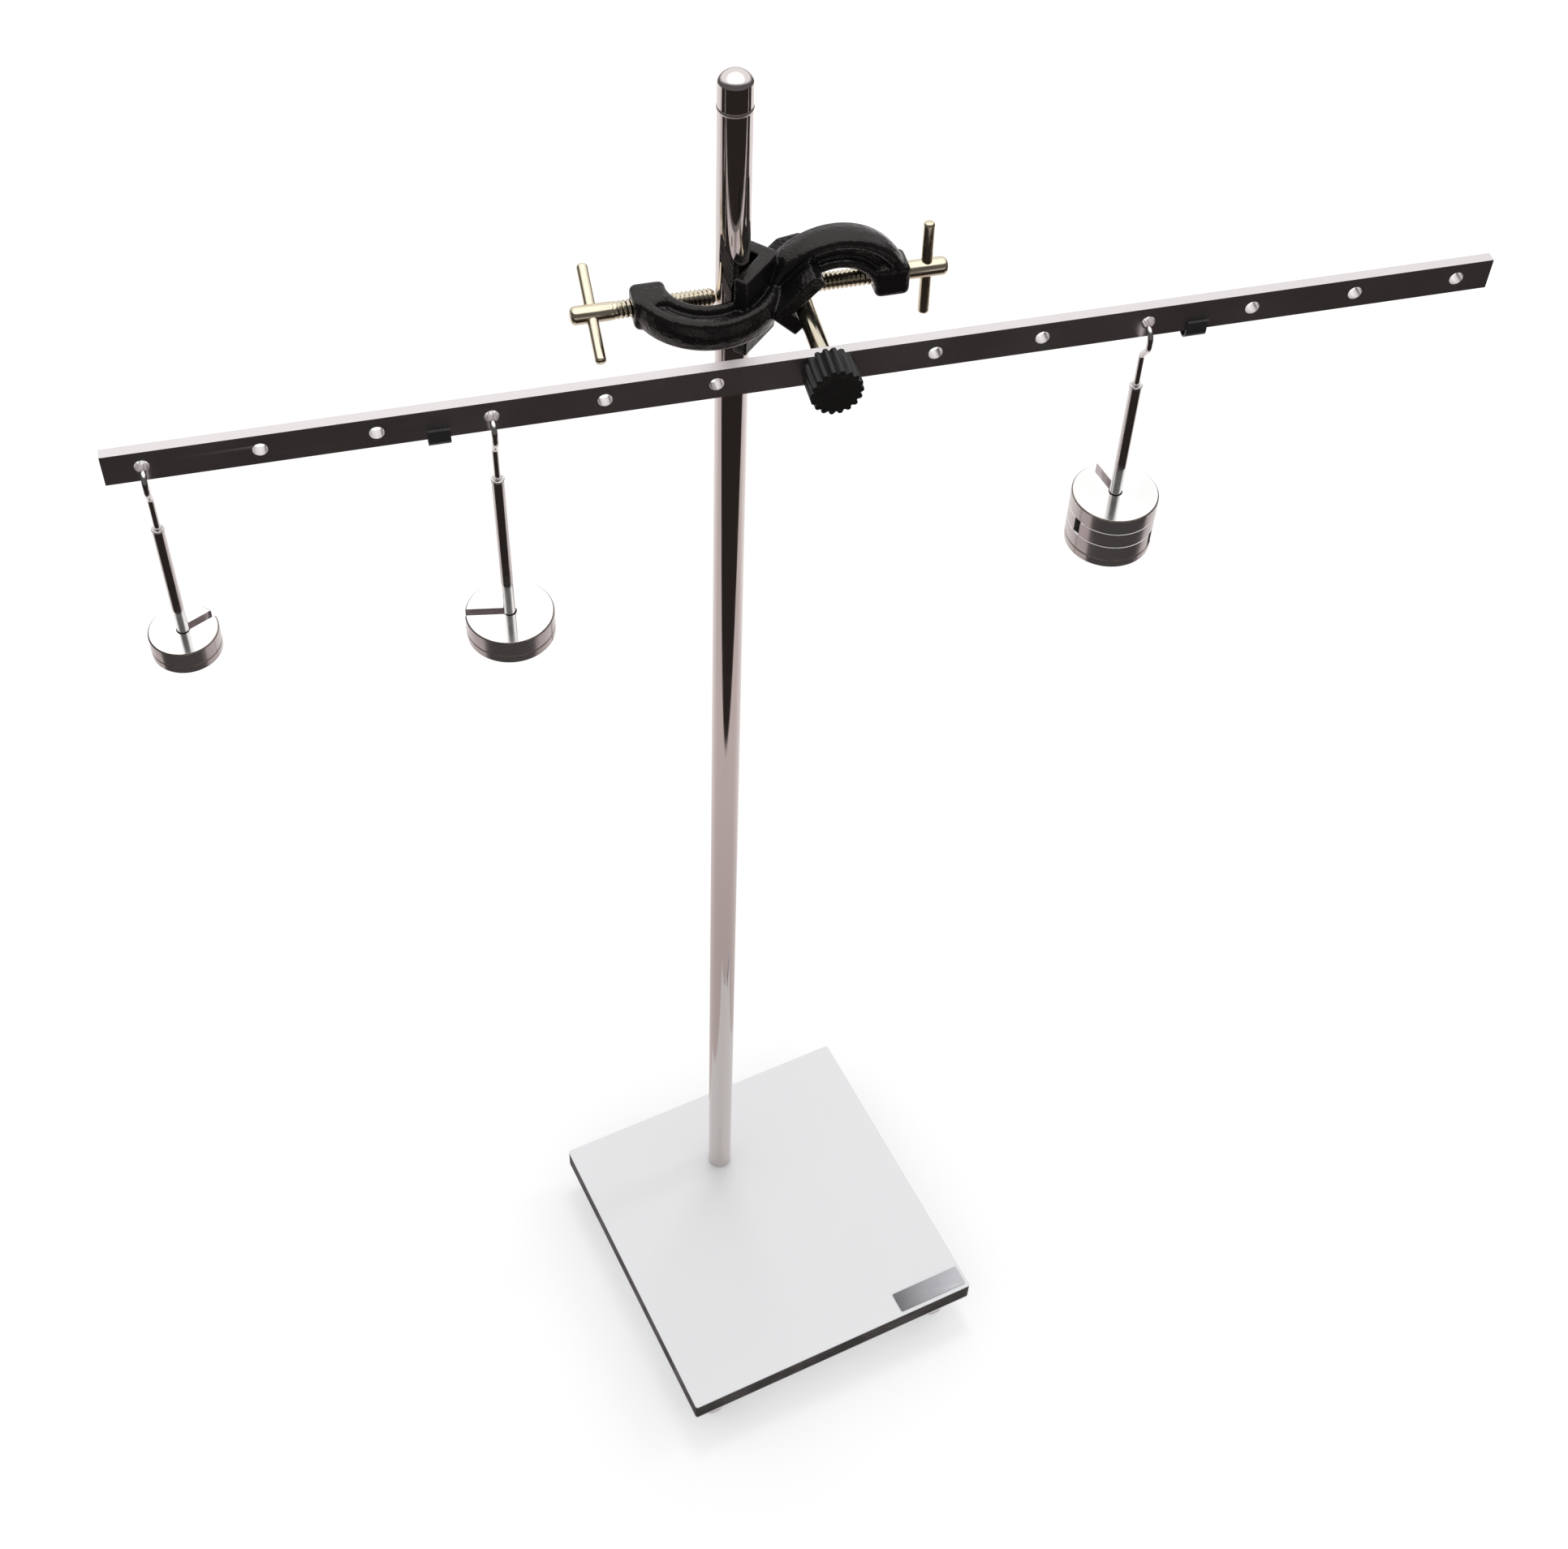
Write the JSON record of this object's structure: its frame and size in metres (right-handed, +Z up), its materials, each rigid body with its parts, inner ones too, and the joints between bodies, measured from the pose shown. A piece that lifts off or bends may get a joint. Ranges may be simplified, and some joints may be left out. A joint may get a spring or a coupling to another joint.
{
  "type": "balance beam with masses",
  "caption": "Drilled lever bar that tilts on a pivot clamped to an upright stand, with hooked hangers that carry slotted masses, for showing balance and moments.",
  "frame": {"origin": "on the bench, straight below the pivot axis at rest and in line with the middle of the base plate, which is also the middle of the footprint of the whole part", "axes": "+Z up along the stand rod, +X along the beam at rest towards the side with the stack of masses, +Y from the knob towards the stand rod"},
  "size_m": [0.38, 0.1546, 0.5661],
  "materials": {
    "board_core": "satin near-black board edge",
    "board_face": "satin pale grey laminate",
    "foot_clear": "clear moulded plastic, slightly milky",
    "zinc_steel": "zinc plated",
    "rod_chrome": "polished chrome plate",
    "black_enamel": "gloss black enamel over a cast skin",
    "screw_nickel": "bright nickel plate, slightly warm",
    "knob_black": "matte black moulding",
    "insert_brass": "turned brass",
    "beam_aluminium": "fine satin, anodised",
    "rider_black": "blackened sheet steel",
    "hanger_nickel": "bright nickel plate",
    "mass_nickel": "bright nickel plate over turned faces"
  },
  "bodies": {
    "stand": {"base_core": "board_core", "base_top_sheet": "board_face", "base_bottom_sheet": "board_face", "foot_front_left": "foot_clear", "foot_front_right": "foot_clear", "foot_back_left": "foot_clear", "foot_back_right": "foot_clear", "foot_screws": "zinc_steel", "rod_screw": "zinc_steel", "rod_washer": "zinc_steel"},
    "rod": {"stand_rod": "rod_chrome", "rod_cap": "rod_chrome"},
    "clamp": {"boss_head": "black_enamel"},
    "left_screw": {"rod_clamp_screw": "screw_nickel", "rod_clamp_bar": "screw_nickel"},
    "right_screw": {"pivot_clamp_screw": "screw_nickel", "pivot_clamp_bar": "screw_nickel"},
    "pivot": {"pivot_rod": "rod_chrome", "washer_back": "zinc_steel", "washer_front": "zinc_steel"},
    "pivot_knob": {"knob": "knob_black", "knob_insert": "insert_brass"},
    "balance": {"beam": "beam_aluminium"},
    "left_rider": {"rider_left": "rider_black"},
    "right_rider": {"rider_right": "rider_black"},
    "small_hanger": {"small_hook": "hanger_nickel", "small_rod": "hanger_nickel", "small_plate": "mass_nickel"},
    "left_hanger": {"left_hook": "hanger_nickel", "left_rod": "hanger_nickel", "left_plate": "mass_nickel"},
    "right_hanger": {"right_hook": "hanger_nickel", "right_rod": "hanger_nickel", "right_plate": "mass_nickel"},
    "small_weight": {"small_mass": "mass_nickel"},
    "left_weight": {"left_mass": "mass_nickel"},
    "lower_weight": {"right_mass_lower": "mass_nickel"},
    "middle_weight": {"right_mass_middle": "mass_nickel"},
    "upper_weight": {"right_mass_upper": "mass_nickel"}
  },
  "joints": [
    {"name": "rod_turn", "type": "hinge", "parent": "stand", "child": "rod", "pos_m": [-0.018, 0.0319, 0.026], "axis": [0, 0, 1], "continuous": true},
    {"name": "clamp_height", "type": "slide", "parent": "rod", "child": "clamp", "axis": [0, 0, 1], "range_m": [-0.26, 0.04]},
    {"name": "left_screw_turn", "type": "hinge", "parent": "clamp", "child": "left_screw", "pos_m": [-0.018, 0.0319, 0.4957], "axis": [-1, 0, 0], "continuous": true},
    {"name": "right_screw_turn", "type": "hinge", "parent": "clamp", "child": "right_screw", "pos_m": [-0.018, 0.0319, 0.4957], "axis": [1, 0, 0], "continuous": true},
    {"name": "pivot_reach", "type": "slide", "parent": "clamp", "child": "pivot", "axis": [0, 1, 0], "range_m": [-0.005, 0.01]},
    {"name": "knob_turn", "type": "hinge", "parent": "pivot", "child": "pivot_knob", "pos_m": [0, -0.008, 0.4957], "axis": [0, -1, 0], "continuous": true},
    {"name": "beam_tilt", "type": "hinge", "parent": "pivot", "child": "balance", "pos_m": [0, -0.0008, 0.4957], "axis": [0, 1, 0], "range_deg": [-30, 30]},
    {"name": "left_rider_slide", "type": "slide", "parent": "balance", "child": "left_rider", "axis": [1, 0, 0], "range_m": [-0.068, 0.007]},
    {"name": "right_rider_slide", "type": "slide", "parent": "balance", "child": "right_rider", "axis": [1, 0, 0], "range_m": [-0.007, 0.082]},
    {"name": "small_swing", "type": "hinge", "parent": "balance", "child": "small_hanger", "pos_m": [-0.18, -0.0008, 0.49385], "axis": [0, 1, 0], "range_deg": [-45, 45]},
    {"name": "left_swing", "type": "hinge", "parent": "balance", "child": "left_hanger", "pos_m": [-0.09, -0.0008, 0.49385], "axis": [0, 1, 0], "range_deg": [-45, 45]},
    {"name": "right_swing", "type": "hinge", "parent": "balance", "child": "right_hanger", "pos_m": [0.09, -0.0008, 0.49385], "axis": [0, 1, 0], "range_deg": [-45, 45]},
    {"name": "small_lift", "type": "slide", "parent": "small_hanger", "child": "small_weight", "axis": [0, 0, 1], "range_m": [0, 0.03]},
    {"name": "left_lift", "type": "slide", "parent": "left_hanger", "child": "left_weight", "axis": [0, 0, 1], "range_m": [0, 0.04]},
    {"name": "lower_lift", "type": "slide", "parent": "right_hanger", "child": "lower_weight", "axis": [0, 0, 1], "range_m": [0, 0.012]},
    {"name": "middle_lift", "type": "slide", "parent": "lower_weight", "child": "middle_weight", "axis": [0, 0, 1], "range_m": [0, 0.012]},
    {"name": "upper_lift", "type": "slide", "parent": "middle_weight", "child": "upper_weight", "axis": [0, 0, 1], "range_m": [0, 0.012]}
  ]
}
